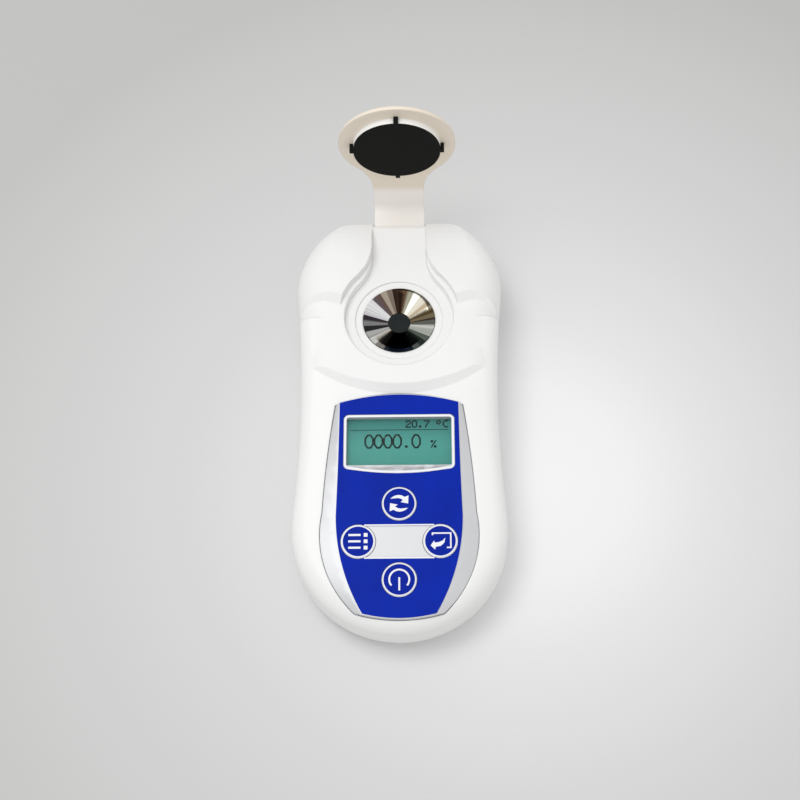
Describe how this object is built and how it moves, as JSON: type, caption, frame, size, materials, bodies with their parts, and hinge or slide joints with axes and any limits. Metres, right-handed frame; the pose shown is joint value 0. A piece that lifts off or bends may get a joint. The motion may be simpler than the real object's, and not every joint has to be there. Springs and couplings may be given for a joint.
{
  "type": "digital refractometer",
  "caption": "Pocket digital refractometer: two-lobed handheld housing with a chromed sample dish under a hinged cover, a tilted display panel and round push keys.",
  "frame": {"origin": "on the resting plane, on the plane of symmetry, halfway along the housing", "axes": "+Y towards the cover's hinge, +Z out of the face with the display, X across"},
  "size_m": [0.056, 0.1263, 0.0618],
  "materials": {
    "housing_plastic": "glossy moulded",
    "cover_plastic": "glossy moulded",
    "pad_rubber": "matt",
    "seal_rubber": "matt",
    "pin_steel": "ground",
    "dish_chrome": "polished",
    "prism_glass": "polished",
    "black_plastic": "matt",
    "lamp_resin": "clear",
    "circuit_board": "solder mask",
    "silver_panel": "satin silver lacquer",
    "blue_film": "printed film",
    "window_pane": "clear",
    "lcd_cell": "display",
    "light_guide": "clear",
    "key_plastic": "moulded, printed",
    "battery_sleeve": "printed film",
    "contact_metal": "nickel plated",
    "screw_steel": "zinc plated"
  },
  "bodies": {
    "housing": {"front_case": "housing_plastic", "rear_case": "housing_plastic", "hinge_pin": "pin_steel", "sample_dish": "dish_chrome", "dish_gasket": "seal_rubber", "prism": "prism_glass", "prism_seal": "seal_rubber", "optic_block": "black_plastic", "led": "lamp_resin", "lens": "prism_glass", "line_sensor": "black_plastic", "sensor_board": "circuit_board", "thermistor": "black_plastic", "main_board": "circuit_board", "board_chips": "black_plastic", "lcd_glass": "lcd_cell", "lcd_backlight": "light_guide", "zebra_strips": "seal_rubber", "display_window": "window_pane", "panel_insert": "silver_panel", "front_label": "blue_film", "switch_housings": "black_plastic", "battery_cell": "battery_sleeve", "contact_leaf": "contact_metal", "contact_plate": "contact_metal", "case_screws": "screw_steel", "board_screws": "screw_steel", "optic_screws": "screw_steel"},
    "lid": {"lid": "cover_plastic", "lid_pad": "pad_rubber"},
    "battery_door": {"battery_door": "housing_plastic"},
    "key_refresh": {"key_refresh": "key_plastic", "plunger_refresh": "black_plastic"},
    "key_menu": {"key_menu": "key_plastic", "plunger_menu": "black_plastic"},
    "key_enter": {"key_enter": "key_plastic", "plunger_enter": "black_plastic"},
    "key_power": {"key_power": "key_plastic", "plunger_power": "black_plastic"}
  },
  "joints": [
    {"name": "lid_hinge", "type": "hinge", "parent": "housing", "child": "lid", "pos_m": [0, 0.0561, 0.0151], "axis": [1, 0, 0], "range_deg": [0, 90]},
    {"name": "battery_door_hinge", "type": "hinge", "parent": "housing", "child": "battery_door", "pos_m": [0, 0.015, 0], "axis": [1, 0, 0], "range_deg": [0, 20]},
    {"name": "key_refresh_press", "type": "slide", "parent": "housing", "child": "key_refresh", "axis": [0, 0.0872, -0.9962], "range_m": [0, 0.0003], "stiffness_N_per_m": 400, "springref_m": -0.001},
    {"name": "key_menu_press", "type": "slide", "parent": "housing", "child": "key_menu", "axis": [0, 0.0872, -0.9962], "range_m": [0, 0.0003], "stiffness_N_per_m": 400, "springref_m": -0.001},
    {"name": "key_enter_press", "type": "slide", "parent": "housing", "child": "key_enter", "axis": [0, 0.0872, -0.9962], "range_m": [0, 0.0003], "stiffness_N_per_m": 400, "springref_m": -0.001},
    {"name": "key_power_press", "type": "slide", "parent": "housing", "child": "key_power", "axis": [0, 0.0872, -0.9962], "range_m": [0, 0.0003], "stiffness_N_per_m": 400, "springref_m": -0.001}
  ]
}
